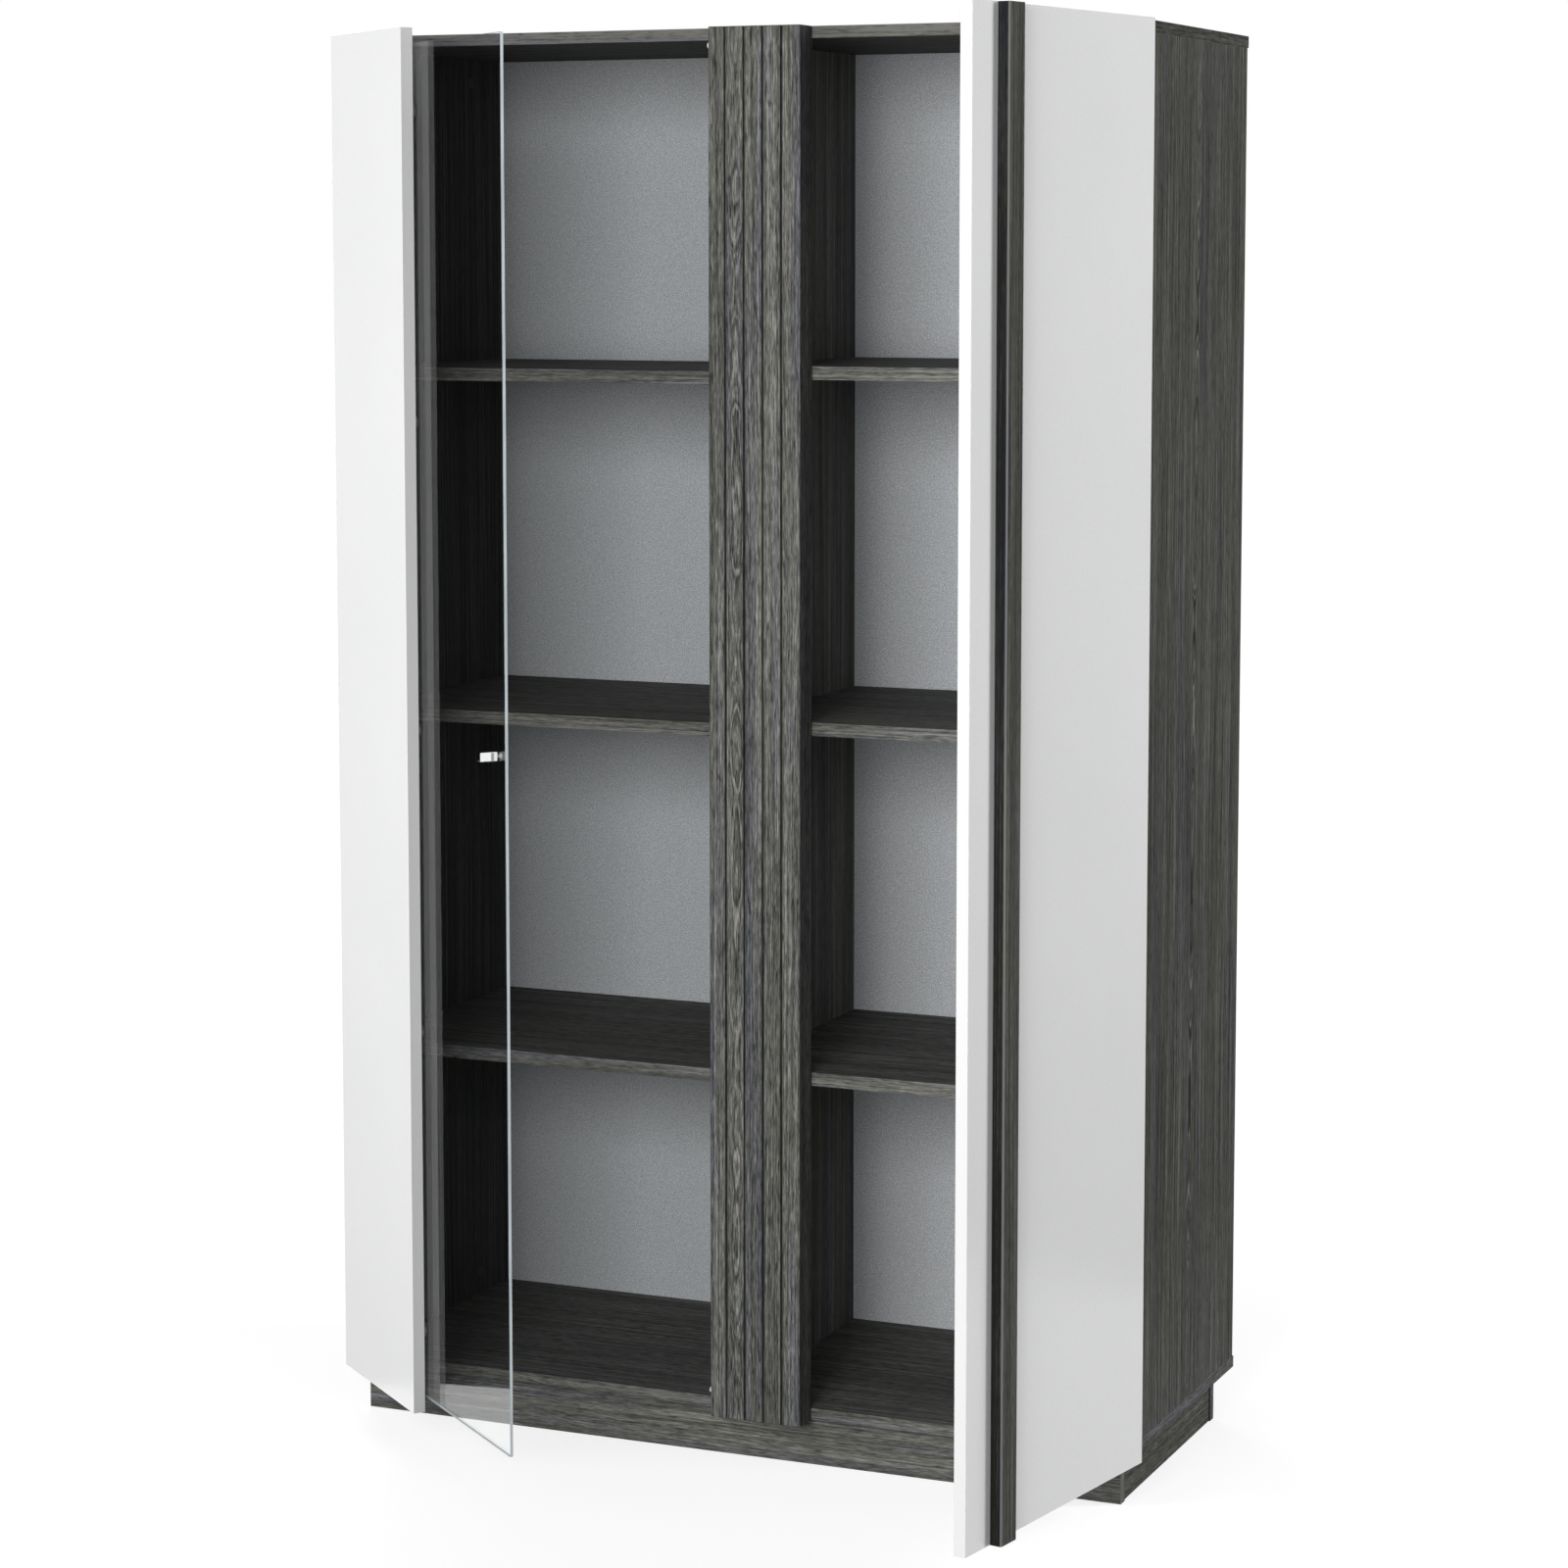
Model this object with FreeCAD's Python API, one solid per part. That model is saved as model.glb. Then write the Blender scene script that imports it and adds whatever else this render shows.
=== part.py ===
import FreeCAD, Part
import math
import os

# A two-bay bookcase with one opaque door and one door that carries a glass pane.
# Millimetres. +X is the cabinet's right seen from the front, +Y is its rear, +Z is up.
# The origin lies on the floor, at the centre of the plinth's footprint.
# The model stands with both doors part open, each turned about its own hinge pins.

# ---------------------------------------------------------------- carcass sizes
cabinet_width = 1160.0
cabinet_height = 1945.0
panel_depth = 472.0  # top and bottom panels, front edge to rear edge
rear_overhang = 6.0  # the top and bottom panels run this far past the sides
board = 16.0  # top, bottom, sides, divider and plinth
edge_break = 0.4  # small chamfer on every edged board

plinth_height = 65.0
plinth_front_setback = 8.0
plinth_back_setback = 46.0
plinth_end_setback = 15.0
plinth_side_step = 2.0  # the side boards lie this far inside the front board's end
plinth_block = 30.0
plinth_block_screw_radius = 2.0
plinth_block_screw_bite = 11.0

back_thickness = 3.0
back_inset = 23.0  # side's rear edge to the back panel's rear face
back_groove_depth = 8.0
back_groove_play = 0.2  # on each face of the back panel
back_edge_play = 0.5  # at the bottom of each groove
strip_flange = 1.0
strip_web = 1.2
strip_rear_width = 24.0

shelf_board = 18.0
left_shelf_height = 455.5  # lowest left shelf's top above the bottom panel
shelf_pitch = 476.5
shelf_stagger = 8.5  # the right bay's shelves are this much higher
shelf_count = 3
left_shelf_clearance = 3.4  # to the caps behind the closed glass
right_shelf_setback = 3.0
shelf_side_play = 0.5
shelf_rear_play = 1.0

pin_radius = 2.5
pin_play = 0.05
pin_hole_depth = 7.5
pin_setback = 37.0  # from a shelf's front or rear edge
pin_tongue_length = 8.0
pin_tongue_width = 9.0
pin_tongue_thickness = 3.0

# ---------------------------------------------------------------- post sizes
post_width = 132.0
post_depth = 40.0
flute_count = 4
flute_pitch = 27.0
flute_first = 24.0  # post's left edge to the first flute's middle
flute_width = 3.4
flute_floor = 2.0
flute_depth = 4.0
post_dowel_count = 6
post_dowel_margin = 120.0

# ---------------------------------------------------------------- door sizes
door_thickness = 17.0
door_edge_inset = 1.0  # hinge edge inside the side's outer face
door_gap = 2.4  # closed door's rear face to the carcass front
door_post_gap = 2.0  # right door's free edge to the post
left_panel_width = 268.5
left_open_angle = 40.4
right_open_angle = 79.7

glass_thickness = 4.0
glass_standoff = 2.5  # panel's rear face to the glass
glass_overlap = 60.0  # glass hidden behind the panel
glass_board_clearance = 4.0  # to the top and bottom panels
glass_divider_clearance = 5.0
glass_corner_radius = 2.0
fixing_count = 5
fixing_margin = 90.0
fixing_radius = 12.0
cap_thickness = 4.0
glass_hole_radius = 5.0
sleeve_play = 0.1

knob_width = 12.0
knob_length = 24.0
knob_height = 1003.5  # knob's middle above the floor
knob_edge_distance = 30.0
knob_chamfer = 0.8
knob_gasket_thickness = 0.5
knob_screw_radius = 2.0
knob_screw_bite = 12.0

stop_radius = 4.15
stop_length = 22.0
stop_end_fillet = 1.0
stop_shank_radius = 2.5
stop_shank_length = 10.0
stop_glass_gap = 0.4  # to the closed glass
stop_board_clearance = 2.0  # to the top and bottom panels

bar_width = 38.0
bar_thickness = 16.0
bar_chamfer = 2.0
bar_free_edge_distance = 59.0
bar_screw_count = 6
bar_screw_margin = 100.0
bar_screw_bite = 11.0

bumper_radius = 4.0
bumper_thickness = 2.2
bumper_edge_distance = 10.0

# ---------------------------------------------------------------- hinge sizes
hinge_count = 4
hinge_margin = 100.0  # door's end to the middle of its outer hinges
hinge_height = 60.0
leaf_thickness = 1.0
leaf_width = 14.0
leaf_edge_margin = 1.5
barrel_radius = 3.0
barrel_recess_play = 0.5
hinge_pin_radius = 1.5
hinge_running_play = 0.05
hinge_fixed_play = 0.01
knuckle_play = 0.3
pin_head_radius = 2.2
pin_head_height = 1.0
leaf_screw_count = 2

# ---------------------------------------------------------------- small fittings
screw_head_radius = 2.9
screw_shank_radius = 1.4
leaf_screw_length = 12.0
screw_play = 0.05
wood_screw_shank_radius = 2.0
wood_screw_head_radius = 4.0
wood_screw_head_height = 2.4
cam_radius = 7.5
cam_depth = 12.5
cam_end_distance = 34.0
cam_play = 0.05
bolt_radius = 3.0
bolt_thread_radius = 2.5
bolt_thread_length = 10.0
dowel_radius = 4.0
dowel_length = 30.0
dowel_panel_bite = 10.0
dowel_play = 0.05
dowel_end_play = 0.5
fitting_front_setback = 70.0
fitting_rear_setback = 90.0
dowel_offset = 32.0  # dowel to its neighbouring cam

# ---------------------------------------------------------------- derived places
left_face = -cabinet_width / 2
right_face = cabinet_width / 2
plinth_depth = panel_depth - plinth_front_setback - plinth_back_setback
front = -(plinth_front_setback + plinth_depth / 2)  # carcass front plane
panel_rear = front + panel_depth
side_rear = panel_rear - rear_overhang
carcass_low = plinth_height
inner_low = carcass_low + board
inner_high = cabinet_height - board
back_rear = side_rear - back_inset
back_front = back_rear - back_thickness
divider_left = -board / 2
divider_right = board / 2
divider_rear = back_front - strip_flange
post_left = divider_left
post_right = post_left + post_width
door_low = carcass_low  # the doors cover the whole carcass
door_high = cabinet_height
axis_y = front - door_gap / 2
door_back = front - door_gap
door_front = door_back - door_thickness
glass_front = door_back + glass_standoff
glass_back = glass_front + glass_thickness
left_shelf_setback = glass_back + cap_thickness + left_shelf_clearance - front
glass_low = inner_low + glass_board_clearance
glass_high = inner_high - glass_board_clearance
glass_left = left_face + left_panel_width - glass_overlap
glass_right = divider_left - glass_divider_clearance

UP = FreeCAD.Vector(0, 0, 1)
RIGHT = FreeCAD.Vector(1, 0, 0)
REAR = FreeCAD.Vector(0, 1, 0)


# ---------------------------------------------------------------- helpers
def point(x, y, z):
    return FreeCAD.Vector(x, y, z)


def block(x0, x1, y0, y1, z0, z1):
    low = point(min(x0, x1), min(y0, y1), min(z0, z1))
    return Part.makeBox(abs(x1 - x0), abs(y1 - y0), abs(z1 - z0), low)


def edged_board(x0, x1, y0, y1, z0, z1):
    """A board whose edges are all broken by the small chamfer."""
    plain = block(x0, x1, y0, y1, z0, z1)
    return plain.makeChamfer(edge_break, plain.Edges)


def rod(start, direction, radius, length):
    return Part.makeCylinder(radius, length, start, direction)


def cut(shape, tools):
    return shape.cut(Part.makeCompound(tools)) if tools else shape


def save(name, *shapes):
    solids = [solid for shape in shapes for solid in shape.Solids]
    whole = solids[0] if len(solids) == 1 else Part.makeCompound(solids)
    whole.exportStep(os.path.join("parts", name + ".step"))


def evenly(low, high, count):
    """Places from low to high, both included."""
    step = (high - low) / (count - 1)
    return [low + step * i for i in range(count)]


def countersunk(start, direction, head, shank, length, play=0.0):
    """A flat-headed screw, its head's face at start. With play, the hole that it sits in."""
    sink = head - shank
    cone = Part.makeCone(head + play, shank + play, sink, start, direction)
    return cone.fuse(rod(start, direction, shank + play, length + play))


def swing_left(shape):
    """Turns a closed left door's piece to its resting angle."""
    turned = shape.copy()
    turned.rotate(point(left_face, axis_y, 0), UP, -left_open_angle)
    return turned


def swing_right(shape):
    """Turns a closed right door's piece to its resting angle."""
    turned = shape.copy()
    turned.rotate(point(right_face, axis_y, 0), UP, right_open_angle)
    return turned


# ---------------------------------------------------------------- shelves and their pins
def shelf_tops(stagger):
    return [inner_low + left_shelf_height + stagger + shelf_pitch * i for i in range(shelf_count)]


def make_bay(bay_left, bay_right, setback, stagger):
    """The shelves and pins of one bay, and the pin holes for the boards at its left and right."""
    shelves = []
    pins = []
    left_holes = []
    right_holes = []
    shelf_front = front + setback
    shelf_rear = back_front - shelf_rear_play
    for top in shelf_tops(stagger):
        under = top - shelf_board
        shelf = edged_board(
            bay_left + shelf_side_play, bay_right - shelf_side_play, shelf_front, shelf_rear, under, top
        )
        shelves.append(shelf)
        middle = under - pin_tongue_thickness / 2
        for y in (shelf_front + pin_setback, shelf_rear - pin_setback):
            for face, inward, holes in ((bay_left, 1, left_holes), (bay_right, -1, right_holes)):
                outward = RIGHT * -inward
                start = point(face, y, middle)
                holes.append(rod(start, outward, pin_radius, pin_hole_depth))
                shank = rod(start, outward, pin_radius - pin_play, pin_hole_depth - dowel_end_play)
                tongue = block(
                    face,
                    face + inward * pin_tongue_length,
                    y - pin_tongue_width / 2,
                    y + pin_tongue_width / 2,
                    under - pin_tongue_thickness,
                    under,
                )
                pins.append(shank.fuse(tongue))
    return shelves, pins, left_holes, right_holes


# ---------------------------------------------------------------- cam locks, bolts and dowels
def make_joint(middle_x, cam_face, cam_way, y, end, panel_way):
    """One cam, bolt and dowel between an upright's end and the panel across it.

    cam_face is the upright's face that the cam sits in, and cam_way the way into the board.
    end is the height of the upright's end, and panel_way is 1 where the panel lies above it.
    """
    across = RIGHT * cam_way
    toward = UP * panel_way
    cam_z = end - panel_way * cam_end_distance
    cam = rod(point(cam_face, y, cam_z), across, cam_radius - cam_play, cam_depth - cam_play)
    cam_pocket = rod(point(cam_face, y, cam_z), across, cam_radius, cam_depth)
    bolt_start = point(middle_x, y, cam_z)
    shank = rod(bolt_start, toward, bolt_radius, cam_end_distance)
    thread = rod(point(middle_x, y, end), toward, bolt_thread_radius, bolt_thread_length)
    bolt_hole = rod(
        bolt_start - toward * dowel_end_play, toward, bolt_radius + dowel_play, cam_end_distance + dowel_end_play
    )
    thread_hole = rod(
        point(middle_x, y, end), toward, bolt_thread_radius + dowel_play, bolt_thread_length + dowel_end_play
    )
    dowel_y = y + dowel_offset
    upright_bite = dowel_length - dowel_panel_bite
    dowel_start = point(middle_x, dowel_y, end - panel_way * upright_bite)
    dowel = rod(dowel_start, toward, dowel_radius - dowel_play, dowel_length)
    dowel_hole = rod(
        dowel_start - toward * dowel_end_play, toward, dowel_radius, dowel_length + 2 * dowel_end_play
    )
    return {
        "cam": cam.cut(bolt_hole),
        "bolt": shank.fuse(thread),
        "dowel": dowel,
        "upright_holes": [cam_pocket, bolt_hole, dowel_hole],
        "panel_holes": [thread_hole, dowel_hole],
    }


def make_joints(middle_x, cam_face, cam_way):
    """The joints at both ends of one upright: (joint, its panel) pairs."""
    joints = []
    for y in (front + fitting_front_setback, divider_rear - fitting_rear_setback):
        joints.append((make_joint(middle_x, cam_face, cam_way, y, inner_high, 1), "top"))
        joints.append((make_joint(middle_x, cam_face, cam_way, y, inner_low, -1), "bottom"))
    return joints


# ---------------------------------------------------------------- hinges
def hinge_heights():
    return evenly(door_low + hinge_margin, door_high - hinge_margin, hinge_count)


def make_hinge(axis_x, inward, middle_z):
    """One butt hinge, closed, with its pin on the cabinet's front outer corner.

    inward is 1 at the left side and -1 at the right. The side's leaf has the two outer knuckles.
    """
    low = middle_z - hinge_height / 2
    knuckle = hinge_height / 3
    bounds = [low, low + knuckle, low + 2 * knuckle, low + hinge_height]

    def ring(z0, z1, bore):
        outer = rod(point(axis_x, axis_y, z0), UP, barrel_radius, z1 - z0)
        return outer.cut(rod(point(axis_x, axis_y, z0 - 1), UP, bore, z1 - z0 + 2))

    def leaf(y0, y1, own_knuckles, bore):
        edge = axis_x + inward * (barrel_radius + barrel_recess_play)
        far = axis_x + inward * (leaf_edge_margin + leaf_width)
        body = block(edge, far, y0, y1, low, low + hinge_height)
        rings = []
        for z0, z1 in own_knuckles:
            body = body.fuse(block(axis_x, edge, y0, y1, z0, z1))
            rings.append(ring(z0, z1, bore))
        body = body.cut(rod(point(axis_x, axis_y, low - 1), UP, bore, hinge_height + 2))
        for one in rings:
            body = body.fuse(one)
        return body.removeSplitter()

    side_spans = [(bounds[0], bounds[1] - knuckle_play / 2), (bounds[2] + knuckle_play / 2, bounds[3])]
    door_spans = [(bounds[1] + knuckle_play / 2, bounds[2] - knuckle_play / 2)]
    side_leaf = leaf(
        front - leaf_thickness, front, side_spans, hinge_pin_radius + hinge_fixed_play
    )
    door_leaf = leaf(
        door_back, door_back + leaf_thickness, door_spans, hinge_pin_radius + hinge_running_play
    )
    pin = rod(point(axis_x, axis_y, low), UP, hinge_pin_radius, hinge_height)
    for z0 in (low - pin_head_height, low + hinge_height):
        pin = pin.fuse(rod(point(axis_x, axis_y, z0), UP, pin_head_radius, pin_head_height))

    screw_x = axis_x + inward * (leaf_edge_margin + leaf_width / 2 + barrel_radius / 2)
    side_screws = []
    door_screws = []
    side_holes = []
    door_holes = []
    for z in evenly(low + hinge_height / 5, low + hinge_height * 4 / 5, leaf_screw_count):
        into_side = (point(screw_x, front - leaf_thickness, z), REAR)
        into_door = (point(screw_x, door_back + leaf_thickness, z), REAR * -1)
        size = (screw_head_radius, screw_shank_radius, leaf_screw_length)
        side_screws.append(countersunk(*into_side, *size))
        side_holes.append(countersunk(*into_side, *size, screw_play))
        door_screws.append(countersunk(*into_door, *size))
        door_holes.append(countersunk(*into_door, *size, screw_play))
    recess = rod(
        point(axis_x, axis_y, low - 2 * pin_head_height),
        UP,
        barrel_radius + barrel_recess_play,
        hinge_height + 4 * pin_head_height,
    )
    return {
        "side_leaf": cut(side_leaf, side_holes),
        "door_leaf": cut(door_leaf, door_holes),
        "pin": pin,
        "side_screws": side_screws,
        "door_screws": door_screws,
        "side_cuts": side_holes + [recess],
        "door_cuts": door_holes + [recess],
    }


def save_hinges(side_name, hinges, swing):
    save(side_name + "_hinge_side_leaves", *[hinge["side_leaf"] for hinge in hinges])
    save(side_name + "_hinge_pins", *[hinge["pin"] for hinge in hinges])
    save(side_name + "_hinge_side_screws", *[one for hinge in hinges for one in hinge["side_screws"]])
    save(side_name + "_hinge_door_leaves", *[swing(hinge["door_leaf"]) for hinge in hinges])
    save(
        side_name + "_hinge_door_screws", *[swing(one) for hinge in hinges for one in hinge["door_screws"]]
    )


# ---------------------------------------------------------------- carcass
def back_groove(x0, x1, z0, z1):
    return block(x0, x1, back_front - back_groove_play, back_rear + back_groove_play, z0, z1)


def make_carcass(left_hinges, right_hinges):
    bays = {
        "left": make_bay(left_face + board, divider_left, left_shelf_setback, 0.0),
        "right": make_bay(divider_right, right_face - board, right_shelf_setback, shelf_stagger),
    }
    left_joints = make_joints(left_face + board / 2, left_face + board, -1)
    right_joints = make_joints(right_face - board / 2, right_face - board, 1)
    divider_joints = make_joints(0.0, divider_left, 1)
    joints = left_joints + right_joints + divider_joints

    def upright_holes(own):
        return [hole for joint, _ in own for hole in joint["upright_holes"]]

    def panel_holes(which):
        return [hole for joint, panel in joints if panel == which for hole in joint["panel_holes"]]

    groove_left = left_face + board - back_groove_depth
    groove_right = right_face - board + back_groove_depth
    top_groove = back_groove(groove_left, groove_right, inner_high, inner_high + back_groove_depth)
    bottom_groove = back_groove(groove_left, groove_right, inner_low - back_groove_depth, inner_low)
    block_screws = plinth_screws()
    block_holes = [hole for _, hole in block_screws]
    stops, stop_holes = make_stops()

    top = edged_board(left_face, right_face, front, panel_rear, inner_high, cabinet_height)
    save("top_panel", cut(top, panel_holes("top") + [top_groove]))
    bottom = edged_board(left_face, right_face, front, panel_rear, carcass_low, inner_low)
    save("bottom_panel", cut(bottom, panel_holes("bottom") + block_holes + [bottom_groove]))

    _, _, left_side_pins, divider_left_pins = bays["left"]
    _, _, divider_right_pins, right_side_pins = bays["right"]
    left_side = edged_board(left_face, left_face + board, front, side_rear, inner_low, inner_high)
    left_cuts = upright_holes(left_joints) + left_side_pins
    left_cuts += [item for hinge in left_hinges for item in hinge["side_cuts"]]
    left_cuts.append(back_groove(groove_left, left_face + board, inner_low, inner_high))
    save("left_side", cut(left_side, left_cuts))
    right_side = edged_board(right_face - board, right_face, front, side_rear, inner_low, inner_high)
    right_cuts = upright_holes(right_joints) + right_side_pins
    right_cuts += [item for hinge in right_hinges for item in hinge["side_cuts"]]
    right_cuts.append(back_groove(right_face - board, groove_right, inner_low, inner_high))
    save("right_side", cut(right_side, right_cuts))

    post_dowels, post_holes = make_post_dowels()
    divider = edged_board(divider_left, divider_right, front, divider_rear, inner_low, inner_high)
    divider_cuts = upright_holes(divider_joints) + divider_left_pins + divider_right_pins
    save("centre_divider", cut(divider, divider_cuts + post_holes + stop_holes))
    save("fluted_post", cut(make_post(), post_holes))
    save("post_dowels", *post_dowels)

    for side_name, (shelves, pins, _, _) in bays.items():
        for number, shelf in enumerate(shelves, 1):
            save("shelf_" + side_name + "_" + str(number), shelf)
        save("shelf_pins_" + side_name, *pins)

    save("cam_locks", *[joint["cam"] for joint, _ in joints])
    save("cam_bolts", *[joint["bolt"] for joint, _ in joints])
    save("carcass_dowels", *[joint["dowel"] for joint, _ in joints])
    save("plinth_block_screws", *[screw for screw, _ in block_screws])
    save("glass_stops", *stops)


def make_back():
    """Two thin panels in the grooves, and the H-shaped strip that joins them behind the divider."""
    low = inner_low - back_groove_depth + back_edge_play
    high = inner_high + back_groove_depth - back_edge_play
    outer_left = left_face + board - back_groove_depth + back_edge_play
    outer_right = right_face - board + back_groove_depth - back_edge_play
    web = strip_web / 2
    save("back_left", block(outer_left, -web - back_edge_play, back_front, back_rear, low, high))
    save("back_right", block(web + back_edge_play, outer_right, back_front, back_rear, low, high))
    front_flange = block(divider_left, divider_right, divider_rear, back_front, inner_low, inner_high)
    rear_half = strip_rear_width / 2
    rear_flange = block(-rear_half, rear_half, back_rear, back_rear + strip_flange, inner_low, inner_high)
    middle = block(-web, web, back_front, back_rear, inner_low, inner_high)
    save("back_joint_strip", front_flange.fuse(middle).fuse(rear_flange).removeSplitter())


# ---------------------------------------------------------------- plinth
def plinth_block_places():
    """Lower-left corner of each glue block, in the plinth's corners and at its centre board."""
    inner_left = left_face + plinth_end_setback + plinth_side_step + board
    inner_right = right_face - plinth_end_setback - plinth_side_step - board
    inner_front = front + plinth_front_setback + board
    inner_rear = panel_rear - plinth_back_setback - board
    columns = (inner_left, board / 2, inner_right - plinth_block)
    return [(x, y) for x in columns for y in (inner_front, inner_rear - plinth_block)]


def plinth_screws():
    """A screw up through each glue block into the bottom panel, with its hole."""
    low = plinth_height - plinth_block
    reach = plinth_block + plinth_block_screw_bite
    pairs = []
    for x, y in plinth_block_places():
        start = point(x + plinth_block / 2, y + plinth_block / 2, low)
        size = (wood_screw_head_radius, plinth_block_screw_radius, reach)
        pairs.append((countersunk(start, UP, *size), countersunk(start, UP, *size, screw_play)))
    return pairs


def make_plinth():
    end_left = left_face + plinth_end_setback
    end_right = right_face - plinth_end_setback
    front_face = front + plinth_front_setback
    rear_face = panel_rear - plinth_back_setback
    save("plinth_front", edged_board(end_left, end_right, front_face, front_face + board, 0, plinth_height))
    save("plinth_back", edged_board(end_left, end_right, rear_face - board, rear_face, 0, plinth_height))
    between = (front_face + board, rear_face - board, 0, plinth_height)
    side_left = end_left + plinth_side_step
    side_right = end_right - plinth_side_step
    save("plinth_left", edged_board(side_left, side_left + board, *between))
    save("plinth_right", edged_board(side_right - board, side_right, *between))
    save("plinth_centre", edged_board(divider_left, divider_right, *between))
    low = plinth_height - plinth_block
    glue_blocks = []
    for (x, y), (_, hole) in zip(plinth_block_places(), plinth_screws()):
        one = block(x, x + plinth_block, y, y + plinth_block, low, plinth_height)
        glue_blocks.append(cut(one, [hole]))
    save("plinth_blocks", *glue_blocks)


# ---------------------------------------------------------------- post
def make_post():
    """The post on the carcass front, with vertical flutes that narrow towards their floors."""
    post_front = front - post_depth
    post = edged_board(post_left, post_right, post_front, front, carcass_low, cabinet_height)
    flutes = []
    for number in range(flute_count):
        middle = post_left + flute_first + number * flute_pitch
        outline = [
            point(middle - flute_width / 2, post_front - edge_break, carcass_low),
            point(middle + flute_width / 2, post_front - edge_break, carcass_low),
            point(middle + flute_floor / 2, post_front + flute_depth, carcass_low),
            point(middle - flute_floor / 2, post_front + flute_depth, carcass_low),
        ]
        face = Part.Face(Part.makePolygon(outline + outline[:1]))
        flutes.append(face.extrude(UP * (cabinet_height - carcass_low)))
    return cut(post, flutes)


def make_post_dowels():
    """Dowels from the divider's front edge into the post, and their holes."""
    dowels = []
    holes = []
    for z in evenly(inner_low + post_dowel_margin, inner_high - post_dowel_margin, post_dowel_count):
        start = point(0.0, front - dowel_length / 2, z)
        dowels.append(rod(start, REAR, dowel_radius - dowel_play, dowel_length))
        holes.append(
            rod(start - REAR * dowel_end_play, REAR, dowel_radius, dowel_length + 2 * dowel_end_play)
        )
    return dowels, holes


# ---------------------------------------------------------------- stops for the glass
def make_stops():
    """A peg at the divider's top and one at its bottom, just behind the closed glass, and their holes."""
    y = glass_back + stop_glass_gap + stop_radius
    reach = stop_board_clearance + stop_radius
    stops = []
    holes = []
    for z in (inner_low + reach, inner_high - reach):
        root = point(divider_left, y, z)
        peg = rod(root, RIGHT * -1, stop_radius, stop_length)
        rim = [edge for edge in peg.Edges if edge.CenterOfMass.x < divider_left - stop_length + 0.1]
        peg = peg.makeFillet(stop_end_fillet, rim)
        stops.append(peg.fuse(rod(root, RIGHT, stop_shank_radius - pin_play, stop_shank_length)))
        holes.append(rod(root, RIGHT, stop_shank_radius, stop_shank_length + dowel_end_play))
    return stops, holes


# ---------------------------------------------------------------- left door
def glass_fixings():
    """Spacer, cap and screw at each fixing, and the holes they need."""
    x = left_face + left_panel_width - glass_overlap / 2
    fixings = []
    for z in evenly(glass_low + fixing_margin, glass_high - fixing_margin, fixing_count):
        bore = wood_screw_shank_radius + screw_play
        through = rod(point(x, door_back - 1, z), REAR, bore, glass_back + cap_thickness - door_back + 2)
        spacer = rod(point(x, door_back, z), REAR, fixing_radius, glass_standoff)
        sleeve = rod(point(x, glass_front, z), REAR, glass_hole_radius - sleeve_play, glass_thickness)
        cap = rod(point(x, glass_back, z), REAR, fixing_radius, cap_thickness)
        head_seat = glass_back + cap_thickness - wood_screw_head_height
        pocket = rod(point(x, head_seat, z), REAR, wood_screw_head_radius + screw_play, cap_thickness)
        head = rod(point(x, head_seat, z), REAR, wood_screw_head_radius, wood_screw_head_height)
        depth = door_back - door_thickness * 2 / 3
        shank = rod(point(x, depth, z), REAR, wood_screw_shank_radius, head_seat - depth)
        panel_hole = rod(point(x, depth - dowel_end_play, z), REAR, bore, head_seat - depth)
        fixings.append(
            {
                "spacer": spacer.fuse(sleeve).cut(through),
                "cap": cap.cut(through).cut(pocket),
                "screw": shank.fuse(head),
                "glass_hole": rod(point(x, glass_front, z), REAR, glass_hole_radius, glass_thickness),
                "panel_hole": panel_hole,
            }
        )
    return fixings


def make_knob():
    """A square bar knob on the glass, its gasket, and the screw that holds it from behind."""
    x = glass_right - knob_edge_distance
    half = knob_width / 2
    seat = glass_front - knob_gasket_thickness
    knob = block(x - half, x + half, seat - knob_length, seat, knob_height - half, knob_height + half)
    knob = knob.makeChamfer(knob_chamfer, knob.Edges)
    bore = knob_screw_radius + screw_play
    tip = seat - knob_screw_bite
    knob_hole = rod(point(x, tip - dowel_end_play, knob_height), REAR, bore, knob_screw_bite + 1)
    gasket = rod(point(x, seat, knob_height), REAR, half - knob_chamfer, knob_gasket_thickness)
    gasket_hole = rod(point(x, seat - 1, knob_height), REAR, bore, knob_gasket_thickness + 2)
    glass_hole = rod(point(x, glass_front, knob_height), REAR, bore, glass_thickness)
    head = rod(point(x, glass_back, knob_height), REAR, wood_screw_head_radius, wood_screw_head_height)
    shank = rod(point(x, tip, knob_height), REAR, knob_screw_radius, glass_back - tip)
    save("glass_knob", swing_left(knob.cut(knob_hole)))
    save("knob_gasket", swing_left(gasket.cut(gasket_hole)))
    save("knob_screw", swing_left(shank.fuse(head)))
    return glass_hole


def make_bumpers(x):
    """A bumper at the top and bottom of a door's free edge, facing the panels' front edges."""
    heights = (carcass_low + board / 2, cabinet_height - board / 2)
    return [rod(point(x, door_back, z), REAR, bumper_radius, bumper_thickness) for z in heights]


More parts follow.
